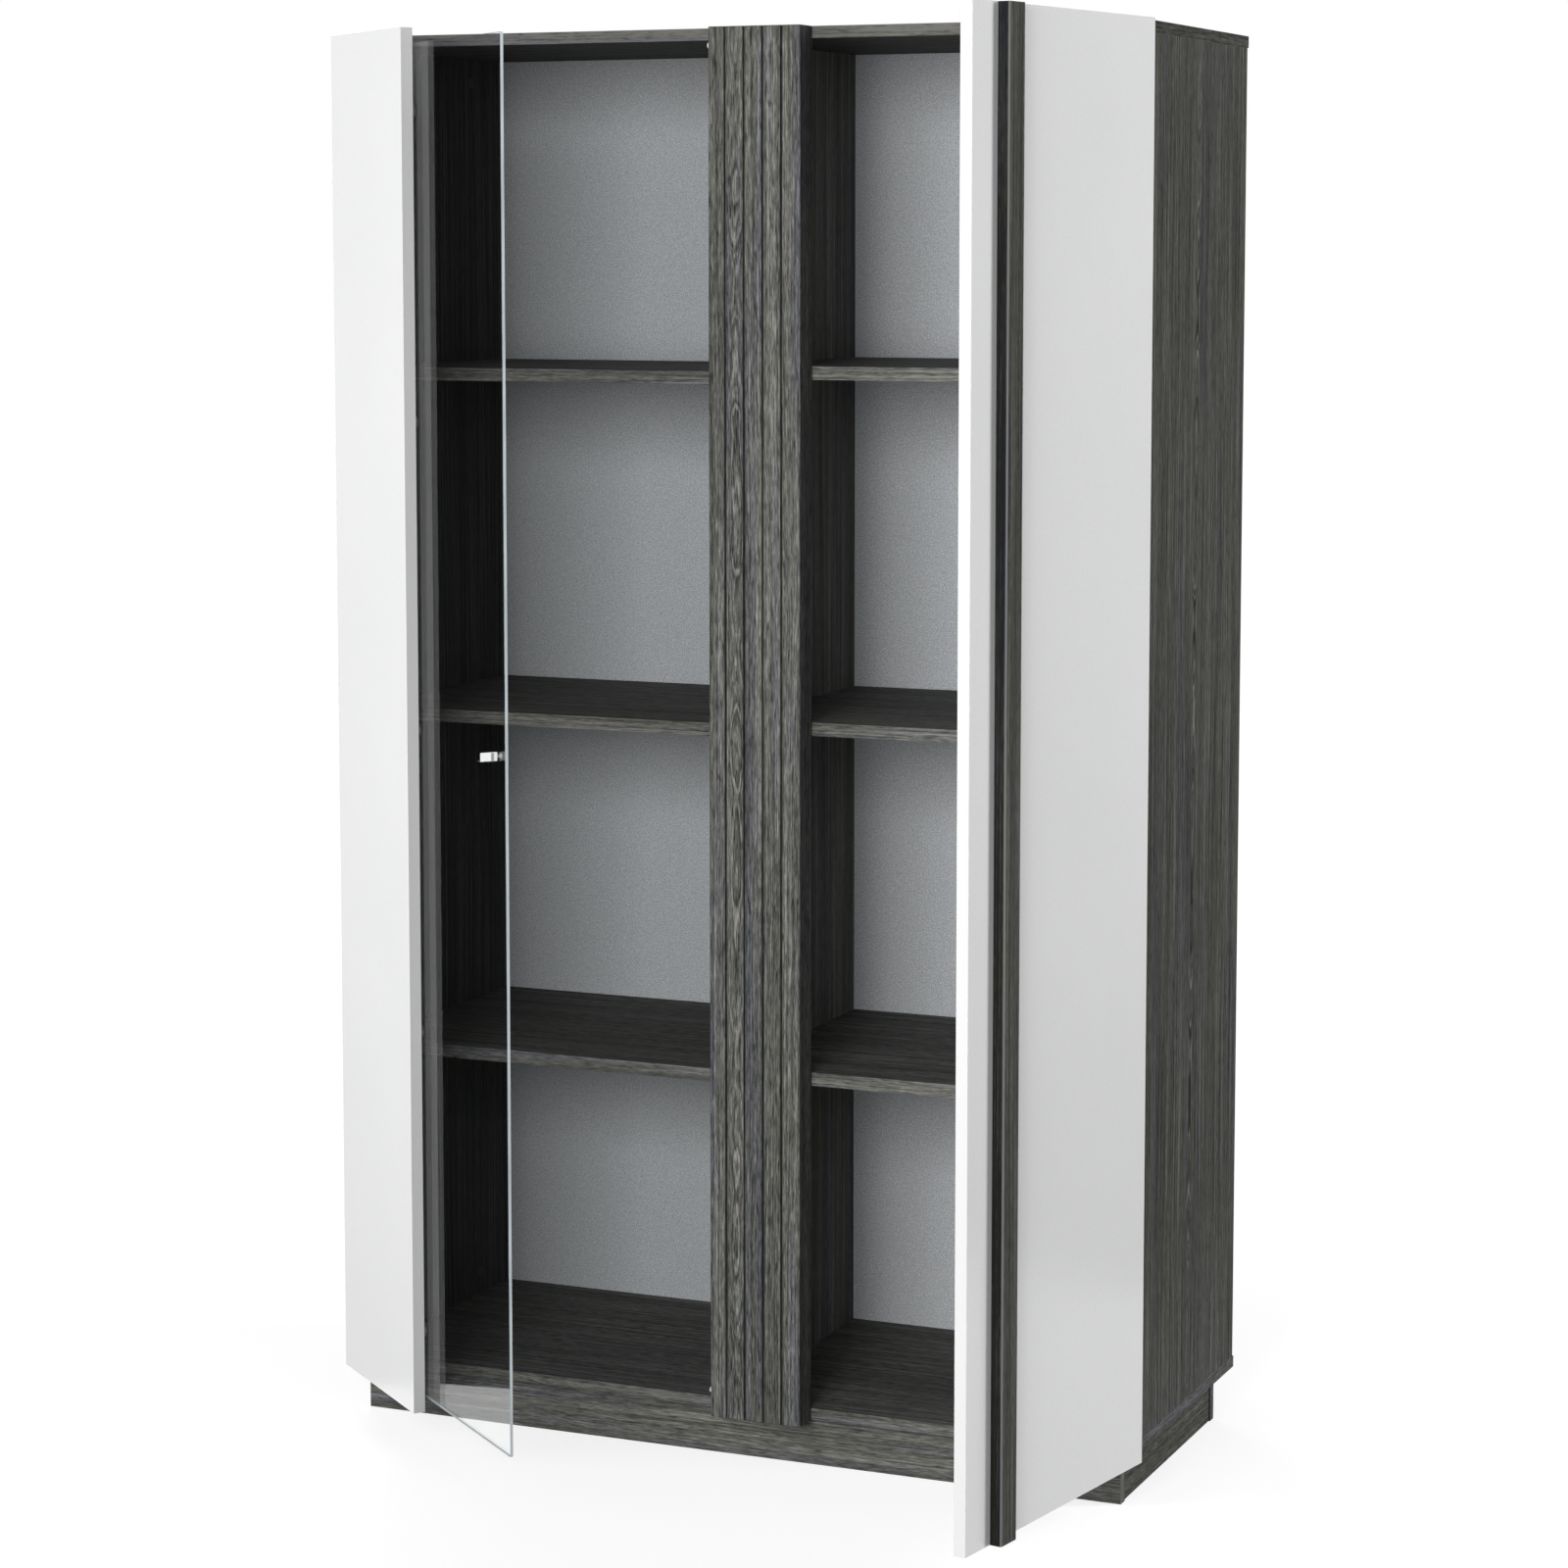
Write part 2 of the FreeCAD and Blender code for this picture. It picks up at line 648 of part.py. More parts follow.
def make_left_door(hinges):
    fixings = glass_fixings()
    panel_right = left_face + left_panel_width
    panel = edged_board(left_face + door_edge_inset, panel_right, door_front, door_back, door_low, door_high)
    panel_cuts = [fixing["panel_hole"] for fixing in fixings]
    panel_cuts += [item for hinge in hinges for item in hinge["door_cuts"]]
    save("left_door_panel", swing_left(cut(panel, panel_cuts)))

    glass = block(glass_left, glass_right, glass_front, glass_back, glass_low, glass_high)
    corners = [edge for edge in glass.Edges if abs(edge.tangentAt(0).y) > 0.9]
    glass = glass.makeFillet(glass_corner_radius, corners)
    holes = [fixing["glass_hole"] for fixing in fixings] + [make_knob()]
    save("left_door_glass", swing_left(cut(glass, holes)))
    save("glass_spacers", *[swing_left(fixing["spacer"]) for fixing in fixings])
    save("glass_caps", *[swing_left(fixing["cap"]) for fixing in fixings])
    save("glass_screws", *[swing_left(fixing["screw"]) for fixing in fixings])
    save("left_door_bumpers", *[swing_left(one) for one in make_bumpers(panel_right - bumper_edge_distance)])


# ---------------------------------------------------------------- right door
def make_right_door(hinges):
    free_edge = post_right + door_post_gap
    panel = edged_board(free_edge, right_face - door_edge_inset, door_front, door_back, door_low, door_high)
    bar_left = free_edge + bar_free_edge_distance
    bar_right = bar_left + bar_width
    bar_face = door_front - bar_thickness
    bar = block(bar_left, bar_right, bar_face, door_front, door_low, door_high)
    outer = [edge for edge in bar.Edges if edge.CenterOfMass.y < bar_face + 0.1]
    bar = bar.makeChamfer(bar_chamfer, [edge for edge in outer if abs(edge.tangentAt(0).z) > 0.9])
    screws = []
    holes = []
    for z in evenly(door_low + bar_screw_margin, door_high - bar_screw_margin, bar_screw_count):
        start = point(bar_left + bar_width / 2, door_back, z)
        size = (wood_screw_head_radius, wood_screw_shank_radius, door_thickness + bar_screw_bite)
        screws.append(countersunk(start, REAR * -1, *size))
        holes.append(countersunk(start, REAR * -1, *size, screw_play))
    panel_cuts = holes + [item for hinge in hinges for item in hinge["door_cuts"]]
    save("right_door_panel", swing_right(cut(panel, panel_cuts)))
    save("right_door_bar", swing_right(cut(bar, holes)))
    save("bar_screws", *[swing_right(screw) for screw in screws])
    save("right_door_bumpers", *[swing_right(one) for one in make_bumpers(free_edge + bumper_edge_distance)])


def main():
    os.makedirs("parts", exist_ok=True)
    left_hinges = [make_hinge(left_face, 1, z) for z in hinge_heights()]
    right_hinges = [make_hinge(right_face, -1, z) for z in hinge_heights()]
    make_carcass(left_hinges, right_hinges)
    make_back()
    make_plinth()
    make_left_door(left_hinges)
    make_right_door(right_hinges)
    save_hinges("left", left_hinges, swing_left)
    save_hinges("right", right_hinges, swing_right)


main()
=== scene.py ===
import math

import bpy
from mathutils import Euler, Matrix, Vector

# The looks of a dark bookcase with two white doors, the left one carrying a glass pane.
# Metres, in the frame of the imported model: +Z up, +Y to the rear, +X to the cabinet's right.

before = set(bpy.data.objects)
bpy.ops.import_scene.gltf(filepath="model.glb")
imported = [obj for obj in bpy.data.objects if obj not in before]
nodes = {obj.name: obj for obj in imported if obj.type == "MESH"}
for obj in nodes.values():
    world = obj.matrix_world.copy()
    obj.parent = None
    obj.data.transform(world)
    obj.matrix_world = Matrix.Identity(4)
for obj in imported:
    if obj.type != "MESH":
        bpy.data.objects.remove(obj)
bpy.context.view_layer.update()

# ---------------------------------------------------------------- camera
IMAGE_SIZE = 1600
FOCAL_PIXELS = 3994.6
# 74 mm from the place fitted for the photograph's camera, and turned, so that a small shift frames
# the object. The parallax inside the bays differs from the photograph's by some pixels for it.
CAMERA_PLACE = (2.1334, -5.0184, 1.6535)
CAMERA_YAW = 23.117  # degrees, turned left of the +Y axis
CAMERA_PITCH = -5.751
CAMERA_SHIFT_Y = -0.09
SENSOR_WIDTH = 36.0
VIEW_END = 200.0

# ---------------------------------------------------------------- doors at rest
# How far each door stands open, about its own upright hinge.
LEFT_OPEN = math.radians(40.4)
RIGHT_OPEN = math.radians(79.7)

MILLIMETRE = 0.001

# Most of a noise's values lie between these.
NOISE_LOW = 0.3
NOISE_HIGH = 0.7

# The Mix node's sockets for A, B and the result, by data type.
MIX_SOCKETS = {"FLOAT": (2, 3, 0), "VECTOR": (4, 5, 1), "RGBA": (6, 7, 2)}


# ---------------------------------------------------------------- node helpers
# A tone scaled by a painted lighting factor: above 1 it paints light, below 1 shade.
def lit(tone, light):
    return tuple(light * c for c in tone)


def opaque(colour):
    """The colour with its alpha, where it is a colour and not a socket."""
    return colour if isinstance(colour, bpy.types.NodeSocket) else (*colour, 1.0)


class Tree:
    """Adds nodes to a material's tree, each with its inputs given by name or number."""

    def __init__(self, tree):
        self.tree = tree

    def add(self, kind, inputs=None, **settings):
        node = self.tree.nodes.new("ShaderNode" + kind)
        for name, value in settings.items():
            setattr(node, name, value)
        for name, value in (inputs or {}).items():
            self.feed(node.inputs[name], value)
        return node

    def feed(self, socket, value):
        if isinstance(value, bpy.types.NodeSocket):
            self.tree.links.new(value, socket)
        else:
            socket.default_value = value

    def math(self, operation, a, b=0.0, third=0.0):
        return self.add("Math", {0: a, 1: b, 2: third}, operation=operation).outputs[0]

    def object_place(self):
        return self.add("TexCoord").outputs["Object"]

    def facing(self, turn):
        """The parts of the surface's normal, turned by an angle about the vertical."""
        normal = self.add("TexCoord").outputs["Normal"]
        turned = self.add("Mapping", {"Vector": normal, "Rotation": (0, 0, turn)}, vector_type="NORMAL")
        return self.add("SeparateXYZ", {"Vector": turned.outputs[0]}).outputs

    def scaled(self, vector, scale):
        """The vector with each of its parts multiplied."""
        return self.add("VectorMath", {0: vector, 1: scale}, operation="MULTIPLY").outputs[0]

    def moved(self, vector, offset):
        return self.add("VectorMath", {0: vector, 1: offset}, operation="ADD").outputs[0]

    def grained(self, vector, scales, finer=1.0):
        """The vector scaled by one number in its first two parts and by another along the grain."""
        across, along = scales
        return self.scaled(vector, (across * finer, across * finer, along))

    def noise(self, vector, scale=1.0, detail=2.0, roughness=0.5):
        inputs = {"Vector": vector, "Scale": scale, "Detail": detail, "Roughness": roughness}
        return self.add("TexNoise", inputs).outputs["Fac"]

    def noise_line(self, value, detail, roughness):
        """Noise that changes with one number only."""
        inputs = {"W": value, "Scale": 1.0, "Detail": detail, "Roughness": roughness}
        return self.add("TexNoise", inputs, noise_dimensions="1D").outputs["Fac"]

    def spread(self, value, low, high, to_low=0.0, to_high=1.0):
        """Maps low..high to to_low..to_high, held at both ends."""
        inputs = {"Value": value, "From Min": low, "From Max": high, "To Min": to_low, "To Max": to_high}
        return self.add("MapRange", inputs).outputs["Result"]

    def between(self, noise, low, high):
        """Maps a noise to values from low to high."""
        return self.spread(noise, NOISE_LOW, NOISE_HIGH, low, high)

    def ramp(self, value, stops):
        node = self.add("ValToRGB", {"Fac": value})
        elements = node.color_ramp.elements
        while len(elements) < len(stops):
            elements.new(0.5)
        for element, (place, colour) in zip(elements, stops):
            element.position = place
            element.color = (*colour, 1.0)
        return node.outputs["Color"]

    def two_tone(self, noise, low_colour, high_colour):
        return self.ramp(noise, [(NOISE_LOW, low_colour), (NOISE_HIGH, high_colour)])

    def blend(self, data_type, factor, a, b):
        """a where the factor is 0, and b where it is 1."""
        node = self.add("Mix", {0: factor}, data_type=data_type)
        first, second, result = MIX_SOCKETS[data_type]
        self.feed(node.inputs[first], a)
        self.feed(node.inputs[second], b)
        return node.outputs[result]

    def mix(self, factor, a, b):
        return self.blend("RGBA", factor, opaque(a), opaque(b))

    def mix_shaders(self, factor, a, b):
        return self.add("MixShader", {0: factor, 1: a, 2: b}).outputs[0]

    def emboss(self, shader, height, strength, depth):
        """Gives the shader a bump, its depth in millimetres."""
        bump = self.add("Bump", {"Height": height, "Strength": strength, "Distance": depth * MILLIMETRE})
        self.feed(shader.inputs["Normal"], bump.outputs[0])


def new_material(name):
    material = bpy.data.materials.new(name)
    material.use_nodes = True
    tree = Tree(material.node_tree)
    shader = material.node_tree.nodes["Principled BSDF"]
    return material, tree, shader


# How far a normal leans along an axis, from 0 to 1, where the face there is taken for a board's end,
# a long edge, or a chamfer beside one.
END_FACE = 0.7
LONG_EDGE = 0.9
CHAMFER = 0.4


def grain_vector(tree, grain, turn):
    """Object coordinates as (across, through, along) the grain of a board, and masks of its long edges.

    grain names the axes of those three, such as "XYZ", and turn undoes a door's opening angle. A face
    that ends the grain has it laid along the board's width instead, as an edge band has.
    """
    turned = tree.add(
        "Mapping", {"Vector": tree.object_place(), "Rotation": (0, 0, turn)}, vector_type="POINT"
    )
    place = tree.add("SeparateXYZ", {"Vector": turned.outputs[0]}).outputs
    facing = tree.facing(turn)
    across, through, along = (place[axis] for axis in grain)
    on_end = tree.math("GREATER_THAN", tree.math("ABSOLUTE", facing[grain[2]]), END_FACE)
    straight = tree.add("CombineXYZ", {"X": across, "Y": through, "Z": along})
    swapped = tree.add("CombineXYZ", {"X": through, "Y": along, "Z": across})
    chosen = tree.blend("VECTOR", on_end, straight.outputs[0], swapped.outputs[0])
    sideways = tree.math("ABSOLUTE", facing[grain[0]])
    on_band = tree.math("GREATER_THAN", sideways, LONG_EDGE)
    on_chamfer = tree.math("SUBTRACT", tree.math("GREATER_THAN", sideways, CHAMFER), on_band)
    return chosen, on_band, on_chamfer


# A mask for worn arrises and painted highlights, and for painted shade where its weight is negative.
def worn_and_lit_corners(tree, breaks):
    """Up to 1 along the convex and concave corners, broken up by a noise, 0 elsewhere."""
    rounded = tree.add("Bevel", {"Radius": 1.6 * MILLIMETRE}, samples=3).outputs[0]
    true_normal = tree.add("NewGeometry").outputs["True Normal"]
    dot = tree.add("VectorMath", {0: rounded, 1: true_normal}, operation="DOT_PRODUCT").outputs["Value"]
    at_corner = tree.spread(dot, 0.99, 0.90)
    return tree.math("MULTIPLY", at_corner, tree.spread(breaks, 0.35, 0.55, 0.4, 1.0))


# ---------------------------------------------------------------- dark woodgrain laminate
# The colours at the shades in TONE_STOPS, from the pores to the lightest lines.
OLIVE_TONES = ((0.014, 0.015, 0.013), (0.050, 0.050, 0.045), (0.088, 0.088, 0.079), (0.200, 0.196, 0.178))
VIOLET_TONES = ((0.014, 0.015, 0.018), (0.044, 0.046, 0.050), (0.082, 0.083, 0.091), (0.185, 0.184, 0.196))
TONE_STOPS = (0.10, 0.42, 0.62, 0.95)
MIDDLE_SHADE = 0.54

# Scales of the noises, per metre: across the grain, and along it.
SWAY_SCALES = (3.0, 1.7)
STREAK_SCALES = (330.0, 2.6)
BROAD_SCALES = (42.0, 0.8)
FIBRE_SCALES = (520.0, 48.0)
PORE_SCALES = (640.0, 50.0)
TINT_SCALES = (85.0, 1.1)
ARCH_SCALES = (0.6, 3.6)
RAGGED_SCALES = (260.0, 34.0)

# How much each mark changes the shade.
LINE_CONTRAST = 1.15
BROAD_CONTRAST = 0.38
PORE_CONTRAST = 0.24

SEED_STEPS = (1.7, 0.9, 0.61)  # metres between the stretches of neighbouring seeds
SWAY_REACH = 0.016  # metres that the lines wander sideways
ARCH_SWAY = 0.4  # the arches wander by this share of it
ARCH_REACH = 0.011  # about half the width of the arches, in metres
ARCH_LENGTH = 2.4  # the most that the distance along the heart adds to the rings', in reaches
ARCH_FADE = (0.6, 1.2)  # where the arches give way to straight lines, in reaches
RING_SCALE = 520.0
RING_SEED_STEP = 7.3
RING_RAGGEDNESS = 0.0022
NO_HEART = 9.0  # a place off every board


def woodgrain(
    name, grain, turn=0.0, seed=0.0, heart=NO_HEART,
    light=1.0, lines=1.0, dashes=1.0, fine=1.0, band=0.0, chamfer=0.0, wear_and_painted_light=0.16,
):
    """Smoked woodgrain: long straight lines, short dashes, and narrow arches where the heart is.

    heart is the place across the board, in metres, that the arches close over, and a value off the
    board leaves the grain straight. light scales every tone: above 1 it paints light on the board,
    below 1 shade. band paints light on the long edges' strips where it is positive, and shade where
    it is negative. chamfer paints a highlight on the slanted strips beside them. The corners' weight
    lightens them as worn arrises and a painted highlight, and paints shade into them when negative.
    """
    material, tree, shader = new_material(name)
    base, on_band, on_chamfer = grain_vector(tree, grain, turn)
    moved = tree.moved(base, tuple(step * seed for step in SEED_STEPS))
    sway = tree.noise(tree.grained(moved, SWAY_SCALES))
    shift = tree.math("MULTIPLY", tree.math("SUBTRACT", sway, 0.5), SWAY_REACH)
    place = tree.moved(moved, tree.add("CombineXYZ", {"X": shift}).outputs[0])

    streaks = tree.noise(tree.grained(place, STREAK_SCALES, fine), detail=4.0, roughness=0.62)
    broad = tree.noise(tree.grained(place, BROAD_SCALES))
    fibres = tree.noise(tree.grained(place, FIBRE_SCALES), detail=3.0, roughness=0.7)
    pore_mask = tree.spread(tree.noise(tree.grained(place, PORE_SCALES), detail=1.0), 0.60, 0.70)
    tint = tree.noise(tree.grained(place, TINT_SCALES), detail=3.0, roughness=0.6)

    from_heart = tree.math("SUBTRACT", tree.add("SeparateXYZ", {"Vector": base}).outputs[0], heart)
    across = tree.math("ADD", from_heart, tree.math("MULTIPLY", shift, ARCH_SWAY))
    depth = tree.noise(tree.grained(moved, ARCH_SCALES))
    below = tree.spread(depth, 0.25, 0.75, 0.0, ARCH_LENGTH * ARCH_REACH)
    square = tree.math("ADD", tree.math("MULTIPLY", across, across), tree.math("MULTIPLY", below, below))
    ragged = tree.noise(tree.grained(moved, RAGGED_SCALES))
    ring = tree.math("MULTIPLY_ADD", ragged, RING_RAGGEDNESS, third=tree.math("SQRT", square))
    ring_place = tree.math("MULTIPLY_ADD", ring, RING_SCALE, third=RING_SEED_STEP * seed)
    rings = tree.noise_line(ring_place, detail=3.0, roughness=0.6)
    fade_start, fade_end = ARCH_FADE
    arched = tree.spread(
        tree.math("ABSOLUTE", across), fade_start * ARCH_REACH, fade_end * ARCH_REACH, 1.0, 0.0
    )
    lined = tree.math("SUBTRACT", tree.blend("FLOAT", arched, streaks, rings), 0.5)

    shade = tree.math("MULTIPLY_ADD", lined, LINE_CONTRAST * lines, third=MIDDLE_SHADE)
    shade = tree.math("ADD", shade, tree.math("MULTIPLY", tree.math("SUBTRACT", fibres, 0.5), dashes))
    shade = tree.math("ADD", shade, tree.math("MULTIPLY", tree.math("SUBTRACT", broad, 0.5), BROAD_CONTRAST))
    shade = tree.math("SUBTRACT", shade, tree.math("MULTIPLY", pore_mask, PORE_CONTRAST * dashes))
    # band paints light on the long edges' strips where positive, and shade where negative.
    shade = tree.math("MULTIPLY_ADD", on_band, band, third=shade)
    # chamfer paints a highlight on the slanted strips beside the long edges.
    shade = tree.math("MULTIPLY_ADD", on_chamfer, chamfer, third=shade)
    # Corners lighten as worn arrises and a painted highlight; a negative weight paints shade into them.
    shade = tree.math("MULTIPLY_ADD", worn_and_lit_corners(tree, fibres), wear_and_painted_light, third=shade)

    # light scales every tone: painted light on the board above 1, painted shade below 1.
    def toned(tones):
        return tree.ramp(shade, [(stop, lit(tone, light)) for stop, tone in zip(TONE_STOPS, tones)])

    colour = tree.mix(tree.spread(tint, 0.50, 0.64), toned(OLIVE_TONES), toned(VIOLET_TONES))
    tree.feed(shader.inputs["Base Color"], colour)
    tree.feed(shader.inputs["Roughness"], tree.between(fibres, 0.70, 0.56))
    shader.inputs["Specular IOR Level"].default_value = 0.04
    height = tree.math("SUBTRACT", fibres, tree.math("MULTIPLY", pore_mask, 0.6))
    tree.emboss(shader, height, 0.25, 0.15)
    return material


# ---------------------------------------------------------------- light grey back panels
SPECKLE_TONES = ((0.25, (0.19, 0.20, 0.215)), (0.5, (0.41, 0.425, 0.44)), (0.75, (0.69, 0.705, 0.72)))
CLOUD_TONE = (0.38, 0.39, 0.41)
CLOUD_SHARE = 0.12


def lacquered_fibreboard(name, light):
    """Grey lacquer with a fine speckle, evened out a little in clouds."""
    material, tree, shader = new_material(name)
    place = tree.object_place()
    speckle = tree.noise(place, scale=570.0, roughness=0.7)
    cloud = tree.noise(place, scale=9.0, detail=3.0)
    # light scales every tone as painted light, more for the right bay's back than the left's.
    speckled = tree.ramp(speckle, [(stop, lit(tone, light)) for stop, tone in SPECKLE_TONES])
    colour = tree.mix(tree.between(cloud, 0.0, CLOUD_SHARE), speckled, lit(CLOUD_TONE, light))
    tree.feed(shader.inputs["Base Color"], colour)
    tree.feed(shader.inputs["Roughness"], tree.between(speckle, 0.72, 0.6))
    shader.inputs["Specular IOR Level"].default_value = 0.3
    tree.emboss(shader, speckle, 0.2, 0.1)
    return material


# ---------------------------------------------------------------- white gloss doors
LACQUER_TONES = ((0.77, 0.772, 0.775), (0.83, 0.832, 0.832))
LACQUER_EDGE = 0.8
FINE_SHARE = 0.7
CLOUDY_SHARE = 0.3


def white_gloss(name, turn, edge_painted_light=1.0):
    """White lacquer; the edge factor, below 1, paints shade on the bands of the door's two long edges."""
    material, tree, shader = new_material(name)
    place = tree.object_place()
    fine = tree.noise(place, scale=380.0, roughness=0.6)
    cloud = tree.noise(place, scale=4.0)
    clouded = tree.math("MULTIPLY", cloud, CLOUDY_SHARE)
    tone = tree.math("ADD", tree.math("MULTIPLY", fine, FINE_SHARE), clouded)
    on_edge = tree.math("GREATER_THAN", tree.math("ABSOLUTE", tree.facing(turn)[0]), LONG_EDGE)
    edge = (LACQUER_EDGE * edge_painted_light,) * 3
    tree.feed(shader.inputs["Base Color"], tree.mix(on_edge, tree.two_tone(tone, *LACQUER_TONES), edge))
    tree.feed(shader.inputs["Roughness"], tree.between(fine, 0.24, 0.16))
    shader.inputs["Specular IOR Level"].default_value = 0.28
    tree.emboss(shader, tree.noise(place, scale=60.0), 0.06, 0.1)
    return material


# ---------------------------------------------------------------- glass
HEAD_ON_REFLECTION = 0.04
SCHLICK_POWER = 5.0
PANE_TINT = (0.985, 0.992, 0.992)
GROUND_EDGE_TONES = ((0.46, 0.52, 0.55), (0.64, 0.70, 0.73))


def clear_glass():
    """Clear float glass, with the cut edges ground to a pale bluish band.

    Each face passes what is behind it and reflects by Schlick's rule, so both faces together let
    through what a real pane does.
    """
    material, tree, shader = new_material("clear_float_glass")
    place = tree.object_place()
    on_edge = tree.math("LESS_THAN", tree.math("ABSOLUTE", tree.facing(LEFT_OPEN)[1]), 0.5)
    away = tree.add("LayerWeight", {"Blend": 0.5}).outputs["Facing"]
    grazing = tree.math("POWER", away, SCHLICK_POWER)
    reflected = tree.math("MULTIPLY_ADD", grazing, 1 - HEAD_ON_REFLECTION, third=HEAD_ON_REFLECTION)
    smear = tree.noise(place, scale=14.0, detail=3.0)
    mirror = tree.add("BsdfAnisotropic", {"Color": (1, 1, 1, 1)})
    tree.feed(mirror.inputs["Roughness"], tree.spread(smear, 0.45, 0.75, 0.0, 0.05))
    through = tree.add("BsdfTransparent", {"Color": opaque(PANE_TINT)})
    body = tree.mix_shaders(reflected, through.outputs[0], mirror.outputs[0])
    streak = tree.noise(tree.scaled(place, (300.0, 300.0, 12.0)))
    tree.feed(shader.inputs["Base Color"], tree.two_tone(streak, *GROUND_EDGE_TONES))
    shader.inputs["Roughness"].default_value = 0.25
    output = next(node for node in tree.tree.nodes if node.type == "OUTPUT_MATERIAL")
    tree.feed(output.inputs["Surface"], tree.mix_shaders(on_edge, body, shader.outputs[0]))
    return material


# ---------------------------------------------------------------- metals, plastics and raw wood
def metal(name, dark, light, low_roughness, high_roughness):
    material, tree, shader = new_material(name)
    brushed = tree.noise(tree.object_place(), scale=300.0, detail=3.0, roughness=0.6)
    tree.feed(shader.inputs["Base Color"], tree.two_tone(brushed, dark, light))
    shader.inputs["Metallic"].default_value = 1.0
    tree.feed(shader.inputs["Roughness"], tree.between(brushed, low_roughness, high_roughness))
    tree.emboss(shader, brushed, 0.05, 0.05)
    return material


def moulded(name, dark, light, low_roughness, high_roughness, transmission=0.0):
    material, tree, shader = new_material(name)
    mottle = tree.noise(tree.object_place(), scale=500.0)
    tree.feed(shader.inputs["Base Color"], tree.two_tone(mottle, dark, light))
    tree.feed(shader.inputs["Roughness"], tree.between(mottle, low_roughness, high_roughness))
    shader.inputs["Transmission Weight"].default_value = transmission
    tree.emboss(shader, mottle, 0.1, 0.1)
    return material


def raw_wood():
    material, tree, shader = new_material("raw_beech")
    fibres = tree.noise(tree.scaled(tree.object_place(), (300.0, 300.0, 20.0)), detail=3.0)
    tree.feed(shader.inputs["Base Color"], tree.two_tone(fibres, (0.42, 0.29, 0.17), (0.60, 0.45, 0.29)))
    tree.feed(shader.inputs["Roughness"], tree.between(fibres, 0.8, 0.65))
    tree.emboss(shader, fibres, 0.3, 0.1)
    return material


# ---------------------------------------------------------------- which piece gets which look
def dress(material, *names):
    for name in names:
        mesh = nodes[name].data
        if not mesh.materials:
            mesh.materials.append(material)
        for slot in range(len(mesh.materials)):
            mesh.materials[slot] = material


def dress_boards():
    """Each board gets its own stretch of the woodgrain, as boards cut from different sheets do.

    light brings a board to the tone that it has in the photograph under these lamps, so part of the
    photograph's light is in it.
    """
    # band paints light on the front edges of the bottom panel and shelves, and of the top.
    level = {"grain": "YZX", "light": 1.25, "band": 0.16}
    # Each light above 1 paints light on its board; below 1, as on the left side and top, it paints shade.
    looks = {
        "left_side": dict(grain="YXZ", light=0.62, lines=1.4, fine=1.5, dashes=0.6),
        "right_side": dict(grain="YXZ", heart=0.03, light=0.92, lines=1.7, fine=1.5, dashes=0.8),
        "centre_divider": dict(grain="YXZ", light=1.45, dashes=0.5),
        # The post's negative band and corner weight paint shade on its flute walls and into their corners.
        "fluted_post": dict(
            grain="XYZ", heart=0.031, light=1.52, fine=1.4, dashes=1.25, band=-0.2, wear_and_painted_light=-0.34
        ),
        # The bar's negative band paints shade on its sides; its chamfer paints a highlight beside its front.
        "right_door_bar": dict(
            grain="XYZ", turn=-RIGHT_OPEN, fine=1.3, dashes=0.6, band=-0.33, chamfer=0.65
        ),
        "top_panel": dict(grain="YZX", light=0.85, band=0.40),
        "bottom_panel": level,
        "plinth_front": dict(grain="ZYX", light=1.65),
        "plinth_back": dict(grain="ZYX"),
        "plinth_left": dict(grain="ZXY"),
        "plinth_right": dict(grain="ZXY"),
        "plinth_centre": dict(grain="ZXY"),
    }
    # The right bay's shelves get more painted light than the left bay's.
    for side, light in (("left", 1.10), ("right", 1.3)):
        for number in (1, 2, 3):
            looks[f"shelf_{side}_{number}"] = dict(level, light=light, band=0.11)
    for seed, (name, look) in enumerate(looks.items()):
        dress(woodgrain("woodgrain_" + name, seed=1.0 + seed, **look), name)


